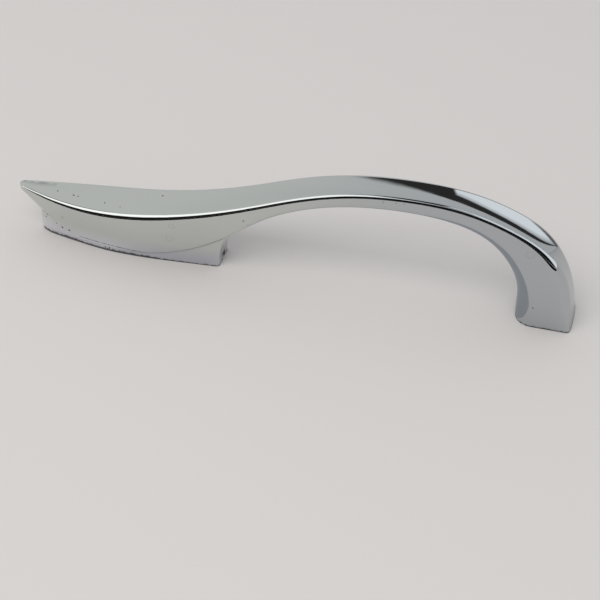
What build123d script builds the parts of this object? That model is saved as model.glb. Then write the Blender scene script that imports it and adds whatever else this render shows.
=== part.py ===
from build123d import *
import os
from collections import namedtuple
from math import atan, cos, pi, radians, sin, tan

# Cabinet handle, one zinc die casting. A leaf-shaped head on a long foot at the left
# draws in to a slim arched grip, which comes down on a small foot at the right.
# Millimetres. +X runs from the leaf to the small foot, +Z away from the cabinet face.
# The origin lies on the cabinet face, midway between the two screw axes.

# Overall sizes
HOLE_PITCH = 96.0
PROJECTION = 28.2
LEAF_HEIGHT = 11.3

# Leaf and its raked prow
LEAF_WIDTH = 11.44
TIP_WIDTH = 1.5
TIP_RISE = 0.75
TIP_REACH = 4.45
TIP_LIP = 1.25
STEM_HEIGHT = 5.6
PROW_ROUND_R = 1.25
TIP_ROUND_R = 0.8
STEM_FLARE = 25.0
RAKE_FLARE = 38.0
LIP_FLARE = 36.0
PROW_INSET = 0.12

# Long foot under the leaf
LONG_FOOT_LENGTH = 44.05
LONG_HOLE_REACH = 21.85
LONG_FOOT_WIDTH = 9.56
LONG_FOOT_END_WIDTH = 7.0
LONG_FOOT_ROOT_WIDTH = 8.2
FOOT_STEP = 0.25
SKIRT_HEIGHT = 1.1
FOOT_CORNER_R = 0.9
COVE_START = 1.9
COVE_TURN = 54.0
COVE_LAP = 0.4

# Grip and the small foot that it ends in
GRIP_WIDTH = 7.7
GRIP_DEPTH = 4.35
SMALL_FOOT_LENGTH = 12.6
SMALL_FOOT_WIDTH = 10.2

# Rounds and creases along the bar, and the slopes of its top and underside at their
# edges: the top is dished where its slope is positive and bowed where it is negative
RIM_R = 1.1
POST_RIM_R = 2.6
CREASE_R = 0.15
GRIP_UNDER_R = 1.8
POST_INNER_R = 4.0
POST_CREASE = 16.0
LEAF_DISH = 2.5
GRIP_DISH = 9.0
FOOT_DISH = -5.0
UNDER_BOW = 4.0
SIDE_DRAFT = 0.15
ROUND_ARCS = 3

# Tapped holes, and the cores that keep the walls of the long foot even
TAP_HOLE_D = 3.3
TAP_HOLE_DEPTH = 8.5
TAP_LEAD = 0.5
TAP_POINT = 118.0
BOSS_WALL = 2.6
CORE_WALL = 1.9
CORE_DEPTH = 6.5
CORE_END_R = 0.8

long_hole_x = -HOLE_PITCH / 2
small_hole_x = HOLE_PITCH / 2
stem_x = long_hole_x - LONG_HOLE_REACH
foot_end_x = stem_x + LONG_FOOT_LENGTH
tip_x = stem_x - TIP_REACH
tip_z = LEAF_HEIGHT + TIP_RISE
lip_z = tip_z - TIP_LIP
post_in_x = small_hole_x - SMALL_FOOT_LENGTH / 2
post_out_x = small_hole_x + SMALL_FOOT_LENGTH / 2
under_z = PROJECTION - GRIP_DEPTH

leaf_half = LEAF_WIDTH / 2
grip_half = GRIP_WIDTH / 2
foot_half = LONG_FOOT_WIDTH / 2
crease_half = foot_half + FOOT_STEP
small_half = SMALL_FOOT_WIDTH / 2

# A rib runs from a place on the underside to one on the rim, with a half width at each.
# Its rim round follows its width unless it has its own, and its side may end in a crease.
Rib = namedtuple("Rib", "x_top z_top half_top x_low z_low half_low low_r dish rim_r crease", defaults=[0, 0])


def mix(start, end, share):
    return start + (end - start) * share


def foot_x(share):
    """Place along the long foot: 0 at the stem, 1 at its other end."""
    return mix(stem_x, foot_end_x, share)


def span_x(share):
    """Place along the clear span: 0 at the long foot, 1 at the small foot."""
    return mix(foot_end_x, post_in_x, share)


def post_x(share):
    """Place across the small foot: 0 on its inner side, 1 on its outer side."""
    return mix(post_in_x, post_out_x, share)


def rim_z(share):
    """Height of the rim: 0 on the leaf, 1 on the crest of the arch."""
    return mix(LEAF_HEIGHT, PROJECTION, share)


def low_z(share):
    """Height of the underside: 0 at the foot's crease, 1 under the crest."""
    return mix(SKIRT_HEIGHT, under_z, share)


def neck_half(share):
    """Half width of the rim: 0 on the grip, 1 on the leaf."""
    return mix(grip_half, leaf_half, share)


def neck_dish(share):
    """Slope of the dished top at the rim: 0 on the grip, 1 on the leaf."""
    return mix(GRIP_DISH, LEAF_DISH, share)


def post_half(share):
    """Half width of the bar as it spreads from the grip, 0, to the small foot, 1."""
    return mix(grip_half, small_half, share)


def post_dish(share):
    """Slope of the top at the rim, from the dished grip, 0, to the bowed small foot, 1."""
    return mix(GRIP_DISH, FOOT_DISH, share)


def leaf_ribs():
    """Full-depth ribs of the leaf, from past the prow to the widest place."""
    high, low, crease = TIP_RISE, SKIRT_HEIGHT, crease_half
    return [
        Rib(tip_x, tip_z, TIP_WIDTH / 2, tip_x, 7.5 * low, 0.08 * crease, CREASE_R, 0.6 * LEAF_DISH),
        Rib(foot_x(-0.037), rim_z(0) + 0.7 * high, 0.345 * leaf_half,
            foot_x(-0.037), 2.7 * low, 0.15 * crease, CREASE_R, 0.7 * LEAF_DISH),
        Rib(foot_x(0.052), rim_z(0) + 0.3 * high, 0.55 * leaf_half,
            foot_x(0.052), low, 0.36 * crease, CREASE_R, 0.9 * LEAF_DISH),
        Rib(foot_x(0.2), rim_z(0), 0.81 * leaf_half, foot_x(0.2), low, 0.68 * crease, CREASE_R, LEAF_DISH),
        Rib(foot_x(0.348), rim_z(0.007), 0.956 * leaf_half,
            foot_x(0.348), low, 0.895 * crease, CREASE_R, LEAF_DISH),
        Rib(foot_x(0.506), rim_z(0.038), leaf_half, foot_x(0.506), low, crease, CREASE_R, LEAF_DISH),
    ]


def neck_ribs():
    """Ribs that lift off the long foot while the leaf narrows to the grip."""
    under = GRIP_UNDER_R
    return [
        Rib(foot_x(0.671), rim_z(0.102), neck_half(0.945), foot_x(0.678), low_z(0.04), 0.966 * crease_half,
            0.1 * under, neck_dish(0.945)),
        Rib(foot_x(0.832), rim_z(0.196), neck_half(0.818), foot_x(0.854), low_z(0.145), 0.88 * crease_half,
            0.22 * under, neck_dish(0.818)),
        Rib(span_x(-0.003), rim_z(0.3225), neck_half(0.679), span_x(0.024), low_z(0.352), neck_half(0.24),
            0.36 * under, neck_dish(0.679)),
        Rib(span_x(0.118), rim_z(0.5), neck_half(0.524), span_x(0.154), low_z(0.637), neck_half(0.24),
            0.78 * under, neck_dish(0.524)),
        Rib(span_x(0.256), rim_z(0.719), neck_half(0.332), span_x(0.289), low_z(0.839), neck_half(0.16),
            0.94 * under, neck_dish(0.332)),
    ]


def grip_ribs():
    """Ribs of the arch, over the crest and down to the shoulder of the post."""
    under, dish, half = GRIP_UNDER_R, GRIP_DISH, grip_half - SIDE_DRAFT
    return [
        Rib(span_x(0.434), rim_z(0.92), neck_half(0.123), span_x(0.449), low_z(0.962), neck_half(0.016),
            under, dish),
        Rib(span_x(0.649), PROJECTION, grip_half, span_x(0.649), under_z, half, 1.05 * under, dish),
        Rib(span_x(0.834), rim_z(0.938), grip_half, span_x(0.805), low_z(0.937), 1.01 * half,
            1.2 * under, dish),
        Rib(span_x(0.975), rim_z(0.7515), post_half(0.064), span_x(0.904), low_z(0.778), post_half(0.08),
            1.6 * under, post_dish(0.05), crease=0.5 * POST_CREASE),
    ]


def post_ribs():
    """Ribs that fan round the shoulder and spread to the small foot."""
    inner = POST_INNER_R
    return [
        Rib(post_x(0.45), 0.683 * PROJECTION, post_half(0.1), span_x(0.967), 0.56 * under_z,
            post_half(0.36), 0.9 * inner, post_dish(0.3), 0.5 * POST_RIM_R, 0.9 * POST_CREASE),
        Rib(post_x(0.825), 0.426 * PROJECTION, post_half(0.3), span_x(0.995), 0.344 * under_z,
            post_half(0.68), 0.98 * inner, post_dish(0.55), POST_RIM_R, POST_CREASE),
        Rib(post_x(0.944), 0.191 * PROJECTION, post_half(0.68), span_x(0.999), 0.168 * under_z,
            post_half(0.88), inner, post_dish(0.8), 0.7 * POST_RIM_R, 0.7 * POST_CREASE),
        Rib(post_out_x, 0, small_half, post_in_x, 0, small_half, inner, FOOT_DISH, 0.35 * POST_RIM_R),
    ]


def arcs(centre, radius, start, end):
    """Start, middle and end points of the short arcs that a round is made of."""
    steps = [mix(start, end, i / (2 * ROUND_ARCS)) for i in range(2 * ROUND_ARCS + 1)]
    points = [(centre[0] + radius * cos(step), centre[1] + radius * sin(step)) for step in steps]
    return [points[2 * i:2 * i + 3] for i in range(ROUND_ARCS)]


def rib_face(rib):
    """Cross-section from the underside to the rim: a dished top between two rim rounds,
    straight drafted sides, two lower rounds and a gently bowed underside."""
    low = Vector(rib.x_low, 0, rib.z_low)
    rise = Vector(rib.x_top, 0, rib.z_top) - low
    height = rise.length
    plane = Plane(low, x_dir=(0, 1, 0), z_dir=Vector(0, 1, 0).cross(rise))
    rim_r = rib.rim_r or RIM_R * rib.half_top / leaf_half
    low_r = min(rib.low_r, 0.85 * rib.half_low)
    dish, bow = radians(rib.dish), radians(UNDER_BOW)
    sag = tan(bow / 2)

    slope = (rib.half_top - rib.half_low) / height
    lean = -atan(slope)
    side = (cos(lean), sin(lean))

    rim_y = rib.half_top - rim_r * (1 - side[1]) / side[0]
    crease = radians(rib.crease)
    reach = rib.half_low - low_r * cos(crease) / side[0] + slope * low_r * (cos(bow) + sag * sin(bow))
    low_y = reach / (1 - slope * sag)
    low_z = low_r * cos(bow) + (low_y + low_r * sin(bow)) * sag

    low_round = arcs((low_y, low_z), low_r, bow - pi / 2, lean - crease)
    rim_round = arcs((rim_y, height - rim_r), rim_r, lean, pi / 2 + dish)
    low_end, rim_end = low_round[0][0], rim_round[-1][2]
    top_mid = (0, rim_end[1] - rim_end[0] * tan(dish / 2))

    def spots(points, hand=1):
        return [plane.from_local_coords((hand * across, up, 0)) for across, up in points]

    half = [ThreePointArc(*spots(points)) for points in low_round]
    half.append(Line(*spots([low_round[-1][2], rim_round[0][0]])))
    half += [ThreePointArc(*spots(points)) for points in rim_round]
    other = [ThreePointArc(*spots(points[::-1], -1)) for points in rim_round[::-1]]
    other.append(Line(*spots([rim_round[0][0], low_round[-1][2]], -1)))
    other += [ThreePointArc(*spots(points[::-1], -1)) for points in low_round[::-1]]
    across_top = ThreePointArc(*spots([rim_end, top_mid]), *spots([rim_end], -1))
    across_low = ThreePointArc(*spots([low_end], -1), low, *spots([low_end]))
    return Face(Wire([across_low, *half, across_top, *other]))


def nose_prism(point, way, radius, flare):
    """Long prism behind a rounded nose that passes through a point, with its two
    flanks opening by the flare angle from the nose."""
    reach = TIP_REACH + LONG_FOOT_LENGTH
    way = Vector(way).normalized()
    plane = Plane(Vector(point) - way * reach, x_dir=Vector(0, 1, 0).cross(way), z_dir=way)
    turn = radians(flare)
    start = (radius * (1 - sin(turn)), radius * cos(turn))
    end = (reach, start[1] + (reach - start[0]) * tan(turn))
    flank = Line(end, start)
    nose = ThreePointArc(start, (0, 0), (start[0], -start[1]))
    outline = flank + nose + mirror(flank, about=Plane.XZ) + Line((end[0], -end[1]), end)
    return extrude(plane * make_face(outline), 2 * reach)


def prow_cutter():
    """What is trimmed off in front of the upright stem, the raked prow and the lip."""
    stem = nose_prism((stem_x, 0, 0), (0, 0, 1), PROW_ROUND_R, STEM_FLARE)
    rise = (-TIP_REACH, 0, lip_z - STEM_HEIGHT)
    rake = nose_prism((stem_x, 0, STEM_HEIGHT), rise, PROW_ROUND_R, RAKE_FLARE)
    lip = nose_prism((tip_x, 0, 0), (0, 0, 1), TIP_ROUND_R, LIP_FLARE)
    start, end = tip_x - TIP_REACH, foot_x(0.2)
    block = Pos((start + end) / 2, 0, LEAF_HEIGHT / 2)
    block = block * Box(end - start, 2 * LEAF_WIDTH, 2 * LEAF_HEIGHT)
    return block - ((stem + rake) & lip)


def foot_plan(end_half, inset=0.0, overrun=0.0):
    """Plan outline of the long foot: rounded at the stem, widest past the middle, with
    straight sides along its last part."""
    half = foot_half - inset
    taper_x, taper_half = foot_x(0.694), 0.945 * half
    taper = (end_half - inset - taper_half) / (foot_end_x - taper_x)
    points = [
        (stem_x + PROW_INSET + inset, 0),
        (foot_x(0.026) + inset, 0.245 * half),
        (foot_x(0.101), 0.48 * half),
        (foot_x(0.215), 0.69 * half),
        (foot_x(0.392), 0.953 * half),
        (foot_x(0.526), half),
        (taper_x, taper_half),
    ]
    side = Spline(*points, tangents=[(0, 1), (1, taper)], tangent_scalars=[1, 1])
    end = (foot_end_x + overrun, end_half - inset + taper * overrun)
    side += Line((taper_x, taper_half), end)
    return make_face(side + Line(end, (end[0], -end[1])) + mirror(side, about=Plane.XZ))


def long_foot():
    """Block under the leaf, wider where it meets the grip than on the cabinet face. Its
    end is upright at first, then sweeps in a cove up to the sloping underside."""
    turn = radians(COVE_TURN)
    low, high = neck_ribs()[2:4]
    slope = (high.z_low - low.z_low) / (high.x_low - low.x_low)
    under = low.z_low - slope * (low.x_low - foot_end_x)
    cove_r = (under - COVE_START) / (sin(turn) - slope * (1 - cos(turn)))
    cove_end = (foot_end_x + cove_r * (1 - cos(turn)), COVE_START + cove_r * sin(turn))
    cove_mid = (foot_end_x + cove_r * (1 - cos(turn / 2)), COVE_START + cove_r * sin(turn / 2))
    top = cove_end[1] + COVE_LAP
    profile = Polyline((foot_end_x, COVE_START), (foot_end_x, 0), (tip_x, 0), (tip_x, STEM_HEIGHT),
                       (cove_end[0], top), cove_end)
    profile += ThreePointArc(cove_end, cove_mid, (foot_end_x, COVE_START))
    slab = extrude(Plane.XZ * make_face(profile), LEAF_WIDTH, both=True)
    base = foot_plan(LONG_FOOT_END_WIDTH / 2, overrun=cove_r)
    crown = Pos(0, 0, top) * foot_plan(LONG_FOOT_ROOT_WIDTH / 2, overrun=cove_r)
    block = loft([base, crown]) & slab
    corners = [
        edge for edge in block.edges()
        if edge.center().X > foot_end_x - FOOT_STEP and 0 < edge.center().Z < cove_end[1] - 0.01
        and abs(edge.center().Y) > FOOT_CORNER_R
    ]
    return fillet(corners, FOOT_CORNER_R)


def foot_core():
    """Pocket that hollows the long foot from below, split in two by the screw boss."""
    plan = foot_plan(LONG_FOOT_END_WIDTH / 2, inset=CORE_WALL)
    boss = Pos(long_hole_x, 0, 0) * Cylinder(TAP_HOLE_D / 2 + BOSS_WALL, 2 * CORE_DEPTH)
    core = extrude(plan, CORE_DEPTH) - boss
    corners = core.edges().filter_by(Axis.Z).filter_by(lambda edge: abs(edge.center().Y) > CORE_END_R)
    return fillet(corners, CORE_END_R)


def tapped_hole():
    """Blind tapped hole: a lead at the mouth, a straight wall and a drilled point."""
    radius = TAP_HOLE_D / 2
    mouth = radius + TAP_LEAD
    point = TAP_HOLE_DEPTH + radius / tan(radians(TAP_POINT / 2))
    outline = Polyline((0, 0), (mouth, 0), (radius, TAP_LEAD), (radius, TAP_HOLE_DEPTH),
                       (0, point), close=True)
    return revolve(Plane.XZ * make_face(outline), Axis.Z)


bar = loft([rib_face(rib) for rib in leaf_ribs() + neck_ribs() + grip_ribs() + post_ribs()])
bar -= prow_cutter()
handle = bar + long_foot()
handle -= foot_core()
for hole_x in (long_hole_x, small_hole_x):
    handle -= Pos(hole_x, 0, 0) * tapped_hole()

os.makedirs("parts", exist_ok=True)
export_step(handle, "parts/handle.step")
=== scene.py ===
from math import cos, radians

import bpy
import numpy as np
from mathutils import Matrix, Vector


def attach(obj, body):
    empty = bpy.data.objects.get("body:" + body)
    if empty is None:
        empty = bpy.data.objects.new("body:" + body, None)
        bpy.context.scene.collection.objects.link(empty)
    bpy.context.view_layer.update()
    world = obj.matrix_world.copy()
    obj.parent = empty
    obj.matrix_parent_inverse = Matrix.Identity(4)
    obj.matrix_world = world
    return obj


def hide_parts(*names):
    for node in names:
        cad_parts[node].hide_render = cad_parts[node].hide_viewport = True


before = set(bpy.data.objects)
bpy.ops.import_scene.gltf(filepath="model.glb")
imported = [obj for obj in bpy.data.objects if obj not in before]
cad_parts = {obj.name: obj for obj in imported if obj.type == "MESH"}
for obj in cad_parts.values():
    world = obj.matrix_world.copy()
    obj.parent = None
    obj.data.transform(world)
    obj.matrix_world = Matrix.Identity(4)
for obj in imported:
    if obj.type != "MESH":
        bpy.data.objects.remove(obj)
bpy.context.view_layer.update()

MM = 0.001

# Camera, in the part's frame: metres, +X from the leaf to the small foot, +Y away from the viewer.
CAMERA_AT = Vector((0.0639518, -0.2674932, 0.2403718))
CAMERA_RIGHT = Vector((0.9659258, 0.2588190, 0.0))
CAMERA_UP = Vector((-0.1731837, 0.6463305, 0.7431448))
LENS_MM = 96.9
SENSOR_MM = 36.0
NEAREST, FARTHEST = 0.01, 20.0

# Room, seen as directions from the handle. AWAY points level from the viewer past the handle,
# and WALL points level at the grey wall, whose straight top edge crosses behind the handle.
UP = Vector((0.0, 0.0, 1.0))
AWAY = Vector((-0.2588190, 0.9659258, 0.0))
RIGHT = AWAY.cross(UP)
WALL = Vector((-0.713, 0.701, 0.0))

# Slopes of the room's sloping edges.
WINDOW_SLOPE = 1.62
WALL_SLOPE = 1.04

# Lamp: place and size in metres, tilt about X.
LAMP_AT = (-0.22, -0.40, 0.7)
LAMP_SIZE = (0.9, 0.5)
LAMP_TILT = radians(25)
LAMP_WATTS = 3.0

# Table sheet, which lies a hair under the feet, and the cards on it, by their corners in plan.
SHEET_HALF = 1.5
SHEET_HEIGHT = -0.02 * MM
CARD_HEIGHT = 0.1 * MM
DARK_CARD = [
    (-0.30, -0.030), (-0.30, -0.8), (0.5, -0.8), (0.5, -0.07), (0.035, -0.06), (0.015, -0.12),
    (-0.01, -0.12), (-0.018, -0.065), (-0.035, -0.031),
]
SHADE_CARD = [
    (-0.022, 0.0), (0.016, -0.002), (0.024, -0.017), (0.041, -0.017), (0.043, 0.010), (-0.022, 0.010),
]

# Seams of the casting whose two sides turn by less than this are smooth in the real one.
SMOOTH_SEAM = radians(10)
# A facet counts in a vertex's fit only if the cosine between their normals is above this.
SAME_SIDE = 0.8
# A normal whose X part is above this takes Y as its helping axis, and else X.
AXIS_LIMIT = 0.8
# How fast a facet's share falls with its distance from the vertex, and how much the fit is damped.
FALL_OFF = 2
DAMPING = 1e-9

# Open pits in the plating: place on the surface and radius, in millimetres.
PITS = [
    (-68.2, -1.6, 4.4, 0.26), (-67.7, -1.8, 5.3, 0.18), (-65.1, -2.8, 4.0, 0.22),
    (-63.2, -3.6, 6.8, 0.18), (-63.7, -3.1, 3.3, 0.36), (-61.9, -3.5, 3.1, 0.36),
    (-52.8, -4.5, 0.8, 0.26), (-51.8, -4.6, 0.9, 0.24), (-61.1, -0.5, 11.2, 0.24),
    (-60.0, -0.6, 11.2, 0.20), (-53.2, -1.5, 11.4, 0.24), (-49.2, -2.3, 11.7, 0.18),
    (-40.6, 2.6, 12.9, 0.24), (-19.4, -4.6, 15.6, 0.24), (11.6, -3.9, 26.8, 0.14),
    (14.4, -3.8, 27.0, 0.15), (16.1, -3.8, 27.1, 0.13), (45.7, -4.8, 5.3, 0.20),
]
# Ring marks left by drops that dried on the plating: place and radius, in millimetres.
DROP_MARKS = [(-36.1, -5.3, 11.2, 0.6), (-36.9, -5.0, 7.3, 0.8), (43.7, -4.0, 19.3, 0.9)]

# Kinds of shader node that are used most.
MATH = "ShaderNodeMath"
MIX = "ShaderNodeMix"
STEP = "ShaderNodeMapRange"
VECTOR = "ShaderNodeVectorMath"


def linear(code):
    """Linear colour of an sRGB hex value."""
    parts = [int(code[i:i + 2], 16) / 255 for i in (0, 2, 4)]
    return tuple(p / 12.92 if p <= 0.04045 else ((p + 0.055) / 1.055) ** 2.4 for p in parts) + (1.0,)


def node(tree, kind, feeds=None, out=0, **settings):
    """Adds a shader node and gives back its output. Each feed is a value or another node's output,
    by the socket that it goes to. Each setting is a property, or a socket's value with _ for a space."""
    new = tree.nodes.new(kind)
    for name, value in settings.items():
        if hasattr(new, name):
            setattr(new, name, value)
        else:
            new.inputs[name.replace("_", " ")].default_value = value
    for socket, feed in (feeds or {}).items():
        if isinstance(feed, bpy.types.NodeSocket):
            tree.links.new(feed, new.inputs[socket])
        else:
            new.inputs[socket].default_value = feed
    return new.outputs[out] if new.outputs else None


def empty_tree(owner):
    """The owner's shader tree, with nothing in it."""
    owner.use_nodes = True
    owner.node_tree.nodes.clear()
    return owner.node_tree


def photo_camera():
    """A camera at the photo's viewing angle, from its place and its two image axes."""
    data = bpy.data.cameras.new("photo_camera")
    data.sensor_width = SENSOR_MM
    data.lens = LENS_MM
    data.clip_start = NEAREST
    data.clip_end = FARTHEST
    camera = bpy.data.objects.new("photo_camera", data)
    back = CAMERA_RIGHT.cross(CAMERA_UP)
    turn = Matrix((CAMERA_RIGHT, CAMERA_UP, back)).transposed().to_4x4()
    camera.matrix_world = Matrix.Translation(CAMERA_AT) @ turn
    bpy.context.scene.collection.objects.link(camera)
    bpy.context.scene.camera = camera


def unit(rows):
    """Each row scaled to length one."""
    return rows / np.maximum(np.linalg.norm(rows, axis=-1, keepdims=True), 1e-12)


def matches(left, right):
    """All index pairs (i, j) for which left[i] equals right[j]."""
    order = np.argsort(right, kind="stable")
    ranked = right[order]
    first = np.searchsorted(ranked, left, "left")
    count = np.searchsorted(ranked, left, "right") - first
    i = np.repeat(np.arange(len(left)), count)
    step = np.arange(count.sum()) - np.repeat(np.cumsum(count) - count, count)
    return i, order[np.repeat(first, count) + step]


def surface_normals(points, tris):
    """Normals of the curved surface that a mesh of flat triangles stands for.

    Around each vertex the normals of the triangles within two rings are fitted, by weighted
    least squares, with a plane in the tangent plane's two coordinates: normal = a + b*u + c*v.
    Its value at the vertex is the answer, so that a round keeps its full turn up to its edge.
    Then vertices at one place whose normals agree within SMOOTH_SEAM share their mean."""
    corner = points[tris]
    turn = np.cross(corner[:, 1] - corner[:, 0], corner[:, 2] - corner[:, 0])
    area = np.linalg.norm(turn, axis=1)
    facet = unit(turn)
    centre = corner.mean(1)
    total = len(tris)

    # pairs of a vertex and a triangle within two rings of it
    vertex = tris.ravel()
    face = np.repeat(np.arange(total), 3)
    i, j = matches(vertex, vertex)
    ring = np.unique(face[i] * total + face[j])
    i, j = matches(face, ring // total)
    pair = np.unique(vertex[i] * total + (ring % total)[j])
    v = pair // total
    f = pair % total

    # tangent plane at each vertex, from the mean of its own triangles
    mean = np.zeros_like(points)
    np.add.at(mean, vertex, facet[face] * area[face][:, None])
    mean = unit(mean)
    # an axis that is never close to the normal
    helper = np.where(np.abs(mean[:, :1]) < AXIS_LIMIT, [[1.0, 0, 0]], [[0, 1.0, 0]])
    across = unit(np.cross(mean, helper))
    along = np.cross(mean, across)
    offset = centre[f] - points[v]
    terms = np.stack([np.ones(len(v)), (offset * across[v]).sum(1), (offset * along[v]).sum(1)], 1)

    # weights: large triangles count more, far ones less, and those that face away not at all
    length = np.linalg.norm(offset, axis=1)
    reach = np.zeros(len(points))
    np.maximum.at(reach, v, length)
    agrees = (facet[f] * mean[v]).sum(1) > SAME_SIDE
    weight = area[f] * agrees * np.exp(-FALL_OFF * (length / reach[v]) ** 2)

    square = np.zeros((len(points), 3, 3))
    goal = np.zeros((len(points), 3, 3))
    np.add.at(square, v, weight[:, None, None] * terms[:, :, None] * terms[:, None, :])
    np.add.at(goal, v, weight[:, None, None] * terms[:, :, None] * facet[f][:, None, :])
    square += np.trace(square, axis1=1, axis2=2)[:, None, None] * DAMPING * np.eye(3)
    fitted = unit(np.linalg.solve(square, goal)[:, 0])

    place = np.unique(np.round(points, 4), axis=0, return_inverse=True)[1].ravel()
    i, j = matches(place, place)
    alike = (fitted[i] * fitted[j]).sum(1) > cos(SMOOTH_SEAM)
    shared = np.zeros_like(fitted)
    np.add.at(shared, i[alike], fitted[j[alike]])
    return unit(shared)


def plated_casting(cad, material):
    """The casting with its own facets, shaded by the normals of the curved surface."""
    points = np.empty(len(cad.data.vertices) * 3)
    tris = np.empty(len(cad.data.loops), int)
    cad.data.vertices.foreach_get("co", points)
    cad.data.loops.foreach_get("vertex_index", tris)
    points = points.reshape(-1, 3)
    tris = tris.reshape(-1, 3)
    mesh = bpy.data.meshes.new("plated_casting")
    mesh.from_pydata(points.tolist(), [], tris.tolist())
    mesh.shade_smooth()
    mesh.normals_split_custom_set_from_vertices(surface_normals(points / MM, tris).tolist())
    mesh.materials.append(material)
    casting = bpy.data.objects.new("plated_casting", mesh)
    bpy.context.scene.collection.objects.link(casting)
    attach(casting, "root")
    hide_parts("handle")


def open_spots(tree, spot, ragged):
    """Share of the plating that is open: pits at their places, with an outline moved by the ragged
    noise, and pinholes, one to each cell of about 2.5 mm, in the patches where the plating is thin."""
    pits = 0.0
    for x, y, z, radius in PITS:
        far = node(tree, VECTOR, {0: spot, 1: (x, y, z)}, out="Value", operation="DISTANCE")
        edge = node(tree, MATH, {0: ragged, 1: radius, 2: far}, operation="MULTIPLY_ADD")
        pit = node(tree, STEP, {0: edge, 1: 1.6 * radius, 2: 0.9 * radius}, interpolation_type="SMOOTHSTEP")
        pits = node(tree, MATH, {0: pit, 1: pits}, operation="MAXIMUM")
    cell = node(tree, "ShaderNodeTexVoronoi", {"Vector": spot}, out="Distance", Scale=1 / 2.5)
    hole = node(tree, STEP, {0: cell, 1: 0.10, 2: 0.05}, interpolation_type="SMOOTHSTEP")
    patch = node(tree, "ShaderNodeTexNoise", {"Vector": spot}, Scale=1 / 9.0)
    thin = node(tree, STEP, {0: patch, 1: 0.55, 2: 0.68}, interpolation_type="SMOOTHSTEP")
    pinholes = node(tree, MATH, {0: hole, 1: thin}, operation="MULTIPLY")
    faint = node(tree, MATH, {0: pinholes, 1: 0.6}, operation="MULTIPLY")
    return node(tree, MATH, {0: pits, 1: faint}, operation="MAXIMUM")


def dried_rings(tree, spot, ragged):
    """Share of a drop mark's rim: near where the distance to the mark's middle, moved by the ragged
    noise, is its radius and 0.45 mm, fading over 0.3 mm to both sides."""
    rings = 0.0
    for x, y, z, radius in DROP_MARKS:
        far = node(tree, VECTOR, {0: spot, 1: (x, y, z)}, out="Value", operation="DISTANCE")
        moved = node(tree, MATH, {0: ragged, 1: 0.9, 2: far}, operation="MULTIPLY_ADD")
        off = node(tree, MATH, {0: moved, 1: radius + 0.45}, operation="SUBTRACT")
        gap = node(tree, MATH, {0: off}, operation="ABSOLUTE")
        rim = node(tree, STEP, {0: gap, 1: 0.30, 2: 0.0}, interpolation_type="SMOOTHSTEP")
        rings = node(tree, MATH, {0: rim, 1: rings}, operation="MAXIMUM")
    return rings


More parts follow.
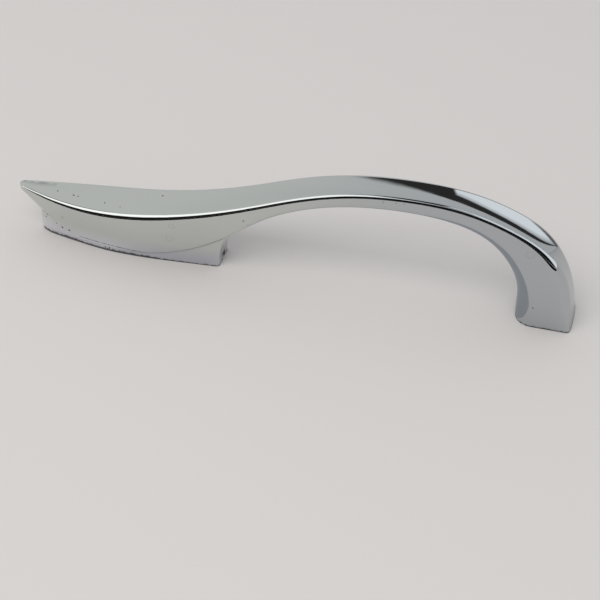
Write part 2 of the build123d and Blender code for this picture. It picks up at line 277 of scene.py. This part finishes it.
def chrome():
    """Bright chrome plating over a polished zinc casting: a mirror with a cool cast, partly painted
    reflection and shade, softened a little by age, with open pits, dried drop marks, painted shade in the
    crease over the long foot, and lower edges dark where it stands, partly from wear and partly painted
    contact shadow."""
    material = bpy.data.materials.new("bright_chrome_plating")
    tree = empty_tree(material)
    place = node(tree, "ShaderNodeTexCoord", out="Object")
    spot = node(tree, VECTOR, {0: place}, operation="SCALE", Scale=1 / MM)
    length = node(tree, "ShaderNodeSeparateXYZ", {0: spot}, out="X")
    height = node(tree, "ShaderNodeSeparateXYZ", {0: spot}, out="Z")

    # each band rises from 0 to 1 between two places along the handle or up it, in millimetres
    bands = {
        "low": (height, 6.0, 1.5),
        "sole": (height, 0.03, 0.01),
        "to_small_foot": (length, -25.0, 30.0),
        "inner_end": (length, -56.0, -38.0),
        "rough_end": (length, -34.0, -48.0),
        "crease_line_start": (length, -61.0, -57.0),
        "crease_line_end": (length, -41.0, -44.0),
    }
    band = {}
    for name, (axis, start, end) in bands.items():
        band[name] = node(tree, STEP, {0: axis, 1: start, 2: end}, interpolation_type="SMOOTHSTEP")

    # ragged outline for pits and for the dark lower edges, worn and with painted contact shadow, patches of
    # about 0.5 mm
    ragged = node(tree, "ShaderNodeTexNoise", {"Vector": spot}, Scale=1 / 0.5)
    open_plating = open_spots(tree, spot, ragged)
    rings = dried_rings(tree, spot, ragged)

    # lower edge dark where it has stood, partly wear and partly painted contact shadow, about 0.3 mm high,
    # and higher at the leaf's end
    uneven = node(tree, MATH, {0: ragged, 1: 1.1, 2: height}, operation="MULTIPLY_ADD")
    edge = node(tree, MATH, {0: band["rough_end"], 1: -0.35, 2: uneven}, operation="MULTIPLY_ADD")
    wear_and_contact_shadow = node(tree, STEP, {0: edge, 1: 1.05, 2: 0.65}, interpolation_type="SMOOTHSTEP")

    # painted shade in the crease over the long foot: darker where the surface nearby closes it in
    corner = node(tree, "ShaderNodeAmbientOcclusion", out="AO", samples=12, only_local=True,
                  Distance=0.9 * MM)
    crease = node(tree, STEP, {0: corner, 1: 0.97, 2: 0.72}, interpolation_type="SMOOTHSTEP")

    # painted shade line for the crease, faint and broken, just above the long foot's dark lower edge,
    # dropping from 2.2 mm to 1.7 mm
    line = node(tree, MATH, {0: length, 1: -0.03, 2: 0.45}, operation="MULTIPLY_ADD")
    off = node(tree, MATH, {0: height, 1: line}, operation="SUBTRACT")
    gap = node(tree, MATH, {0: off}, operation="ABSOLUTE")
    painted_crease_line = node(tree, STEP, {0: gap, 1: 0.18, 2: 0.04}, interpolation_type="SMOOTHSTEP")
    broken = node(tree, STEP, {0: ragged, 1: 0.3, 2: 0.6}, interpolation_type="SMOOTHSTEP")
    for share in (band["crease_line_start"], band["crease_line_end"], broken):
        painted_crease_line = node(tree, MATH, {0: painted_crease_line, 1: share}, operation="MULTIPLY")
    # both painted crease shades together: the occlusion darkening and the drawn line
    painted_crease_shade = node(tree, MATH, {0: crease, 1: painted_crease_line}, operation="MAXIMUM")

    # painted reflection and shade, matched to the photo: cooler low on the feet, lightest there at the
    # leaf's end, and darker towards the small foot
    foot = node(tree, MIX, {0: band["inner_end"], 6: linear("E4E6EC"), 7: linear("C9CCD4")}, out=2,
                data_type="RGBA")
    colour = node(tree, MIX, {0: band["low"], 6: linear("D1D5D1"), 7: foot}, out=2, data_type="RGBA")
    # over it the painted reflection towards the small foot, marks, painted crease shade, the dark lower
    # edge (wear and painted contact shadow) and pits, and last the soles, which are guessed: bare zinc,
    # ground flat after plating, grey and matt
    layers = [
        (band["to_small_foot"], 1.0, "BCC1C4"),
        (rings, 0.20, "9A9E9A"),
        (painted_crease_shade, 0.85, "44464A"),
        (wear_and_contact_shadow, 0.85, "36373C"),
        (open_plating, 0.90, "454643"),
        (band["sole"], 1.0, "A8A9A7"),
    ]
    for share, strength, code in layers:
        cover = node(tree, MATH, {0: share, 1: strength}, operation="MULTIPLY")
        colour = node(tree, MIX, {0: cover, 6: colour, 7: linear(code)}, out=2, data_type="RGBA")

    # haze of fine scratches, in patches of about 5 mm, and dull where the plating is gone
    patch = node(tree, "ShaderNodeTexNoise", {"Vector": spot}, Scale=1 / 5.0, Detail=4.0)
    hazy = node(tree, STEP, {0: patch, 1: 0.45, 2: 0.75}, interpolation_type="SMOOTHSTEP")
    haze = node(tree, MATH, {0: hazy, 1: 0.04, 2: 0.035}, operation="MULTIPLY_ADD")
    dull = node(tree, MATH, {0: rings, 1: 0.4}, operation="MULTIPLY")
    for share in (wear_and_contact_shadow, open_plating, band["sole"]):
        dull = node(tree, MATH, {0: dull, 1: share}, operation="MAXIMUM")
    roughness = node(tree, MATH, {0: dull, 1: 0.35, 2: haze}, operation="MULTIPLY_ADD")

    # slow waves left by polishing, about 4 mm apart
    wave = node(tree, "ShaderNodeTexNoise", {"Vector": spot}, Scale=1 / 4.0, Detail=1.0)
    swell = node(tree, MATH, {0: wave, 1: 0.6}, operation="MULTIPLY")
    relief = node(tree, MATH, {0: open_plating, 1: -8.0, 2: swell}, operation="MULTIPLY_ADD")
    bump = node(tree, "ShaderNodeBump", {"Height": relief}, Strength=1.0, Distance=0.004 * MM)
    shader = node(tree, "ShaderNodeBsdfPrincipled",
                  {"Base Color": colour, "Roughness": roughness, "Normal": bump}, Metallic=1.0)
    node(tree, "ShaderNodeOutputMaterial", {"Surface": shader})
    return material


def paper(name, colour):
    """Matt uncoated paper or card, with no gloss. To a view from below it is clear, so that the
    underside of the handle can be seen."""
    material = bpy.data.materials.new(name)
    tree = empty_tree(material)
    shader = node(tree, "ShaderNodeBsdfPrincipled", Base_Color=linear(colour), Roughness=0.9,
                  Specular_IOR_Level=0.0)
    clear = node(tree, "ShaderNodeBsdfTransparent")
    below = node(tree, "ShaderNodeNewGeometry", out="Backfacing")
    passed = node(tree, "ShaderNodeLightPath", out="Transparent Depth")
    share = node(tree, MATH, {0: below, 1: passed}, operation="MAXIMUM", use_clamp=True)
    sides = node(tree, "ShaderNodeMixShader", {0: share, 1: shader, 2: clear})
    node(tree, "ShaderNodeOutputMaterial", {"Surface": sides})
    return material


def stage_sheet(name, corners, height, material):
    """A flat stage piece from its corners in plan."""
    mesh = bpy.data.meshes.new(name)
    mesh.from_pydata([(x, y, height) for x, y in corners], [], [tuple(range(len(corners)))])
    mesh.materials.append(material)
    sheet = bpy.data.objects.new(name, mesh)
    bpy.context.scene.collection.objects.link(sheet)
    return sheet


def table():
    """A pale sheet under the handle, and two cards on it that only the plating shows: a black one
    for the room's dark front edge, and a grey one for the shade under the arch."""
    square = [(-SHEET_HALF, -SHEET_HALF), (SHEET_HALF, -SHEET_HALF), (SHEET_HALF, SHEET_HALF),
              (-SHEET_HALF, SHEET_HALF)]
    stage_sheet("table_sheet", square, SHEET_HEIGHT, paper("matt_paper", "D6D3D2"))
    dark = stage_sheet("dark_card", DARK_CARD, CARD_HEIGHT, paper("black_card", "101010"))
    shade = stage_sheet("shade_card", SHADE_CARD, CARD_HEIGHT, paper("grey_card", "B2B3B7"))
    for card in (dark, shade):
        card.visible_camera = False
        card.visible_diffuse = False
        card.visible_shadow = False


def overhead_lamp():
    """A wide soft lamp above that lights the sheet and isn't mirrored in the plating."""
    data = bpy.data.lights.new("overhead_lamp", "AREA")
    data.shape = "RECTANGLE"
    data.size, data.size_y = LAMP_SIZE
    data.energy = LAMP_WATTS
    data.color = linear("FFFBF6")[:3]
    lamp = bpy.data.objects.new("overhead_lamp", data)
    lamp.matrix_world = Matrix.Translation(LAMP_AT) @ Matrix.Rotation(LAMP_TILT, 4, "X")
    lamp.visible_glossy = False
    bpy.context.scene.collection.objects.link(lamp)


def grey(value, warmth=0.0):
    """Linear light of one strength, cooler below zero and warmer above."""
    return (value * (1 + warmth), value, value * (1 - warmth), 1.0)


def studio():
    """Room light: a grey wall with a straight top edge, a dark strip over it, bright windows
    to the left and right of it, a dim ceiling and a dark side towards the viewer.

    This is what the plating shows. Matt things get even light from all round instead, and the
    camera sees a plain backdrop past the sheet's far edge.

    Each edge in the room is straight, so it is a plane through the handle: a ray's share rises
    smoothly from 0 to 1 while its dot product with the plane's normal goes from start to end."""
    world = bpy.data.worlds.new("studio")
    bpy.context.scene.world = world
    tree = empty_tree(world)
    ray = node(tree, "ShaderNodeTexCoord", out="Generated")
    edges = {
        "pane": (UP - WINDOW_SLOPE * WALL, 0.0, 0.22),
        "right_window": (RIGHT, -0.15, 0.05),
        "ceiling": (UP, 0.93, 0.985),
        "strip": (UP - WINDOW_SLOPE * WALL, 0.03, 0.0),
        "left_edge": (RIGHT + 0.50 * AWAY, -0.14, 0.0),
        "panel": (RIGHT - 0.35 * AWAY, 0.015, -0.015),
        "behind": (AWAY, 0.0, 0.05),
        "frame_start": (RIGHT - 1.65 * AWAY, -0.03, 0.03),
        "frame_end": (RIGHT - 2.1 * AWAY, 0.03, -0.03),
        "front": (AWAY, -0.28, -0.40),
        "wall_height": (UP, 0.2, 0.55),
        "wall_left": (RIGHT, 0.25, -0.15),
        "wall_side": (WALL, 0.0, 0.03),
        "ground": (UP, 0.0, -0.02),
    }
    past = {}
    for name, (normal, start, end) in edges.items():
        reach = node(tree, VECTOR, {0: ray, 1: normal}, out="Value", operation="DOT_PRODUCT")
        past[name] = node(tree, STEP, {0: reach, 1: start, 2: end}, interpolation_type="SMOOTHSTEP")

    # dark strip and dark panel behind the handle, between the two windows
    dark = node(tree, MATH, {0: past["panel"], 1: past["strip"]}, operation="MAXIMUM")
    for share in (past["left_edge"], past["behind"]):
        dark = node(tree, MATH, {0: dark, 1: share}, operation="MULTIPLY")
    # frame at the right window's far end
    post = node(tree, MATH, {0: past["frame_start"], 1: past["frame_end"]}, operation="MULTIPLY")
    # grey wall, with a top edge that blurs towards the left
    over = node(tree, VECTOR, {0: ray, 1: UP - WALL_SLOPE * WALL}, out="Value", operation="DOT_PRODUCT")
    blur = node(tree, MATH, {0: past["wall_left"], 1: 0.15, 2: 0.02}, operation="MULTIPLY_ADD")
    ratio = node(tree, MATH, {0: over, 1: blur}, operation="DIVIDE")
    below = node(tree, STEP, {0: ratio, 1: 1.0, 2: -0.4}, interpolation_type="SMOOTHSTEP")
    wall = node(tree, MATH, {0: below, 1: past["wall_side"]}, operation="MULTIPLY")
    wall_shade = node(tree, MIX, {0: past["wall_height"], 6: grey(0.60, -0.01), 7: grey(0.65)}, out=2,
                      data_type="RGBA")

    # windows: the left one is the brighter, and the right one fades towards its lower edge
    light = node(tree, MIX, {0: past["pane"], 6: grey(0.60, -0.02), 7: grey(1.18, -0.02)}, out=2,
                 data_type="RGBA")
    light = node(tree, MIX, {0: past["right_window"], 6: grey(1.50), 7: light}, out=2, data_type="RGBA")
    # the rest of the room over them, and last what matt things and the camera get
    layers = [
        (past["ceiling"], grey(0.35)),
        (dark, grey(0.035, 0.05)),
        (post, grey(0.16)),
        (past["front"], grey(0.012)),
        (wall, wall_shade),
        (past["ground"], grey(0.6)),
        (node(tree, "ShaderNodeLightPath", out="Is Diffuse Ray"), grey(0.66, -0.01)),
        (node(tree, "ShaderNodeLightPath", out="Is Camera Ray"), grey(0.6)),
    ]
    for share, colour in layers:
        light = node(tree, MIX, {0: share, 6: light, 7: colour}, out=2, data_type="RGBA")
    glow = node(tree, "ShaderNodeBackground", {"Color": light})
    node(tree, "ShaderNodeOutputWorld", {"Surface": glow})


photo_camera()
table()
overhead_lamp()
studio()
plated_casting(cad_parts["handle"], chrome())
bpy.context.scene.view_settings.view_transform = "Standard"
